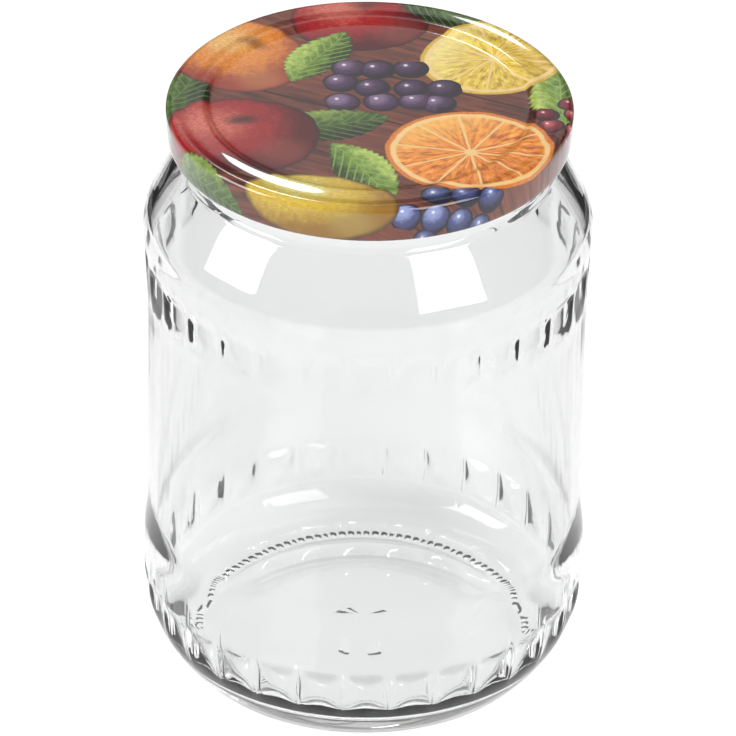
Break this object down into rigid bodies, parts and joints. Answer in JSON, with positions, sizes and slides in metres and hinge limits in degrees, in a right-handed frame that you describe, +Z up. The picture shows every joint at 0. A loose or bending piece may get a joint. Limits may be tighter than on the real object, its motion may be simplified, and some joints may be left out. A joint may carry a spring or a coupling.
{
  "type": "screw-top glass jar",
  "caption": "Round clear glass preserving jar with two belts of pressed panels, closed by a printed quarter-turn steel lid over a soft seal.",
  "frame": {"origin": "on the ground, at the middle of the jar's foot", "axes": "+Z up along the jar's round axis, from the foot to the lid; +X through the middle of a pressed panel"},
  "size_m": [0.0948, 0.0948, 0.134],
  "materials": {
    "clear_glass": "clear, colourless pressed glass, smooth and glossy",
    "printed_steel": "tinplate with a many-coloured fruit print under clear gloss lacquer, pale lacquer inside",
    "soft_seal": "pale soft sealing compound, satin"
  },
  "bodies": {
    "root": {"jar": "clear_glass", "lid": "printed_steel", "seal": "soft_seal"}
  },
  "joints": []
}
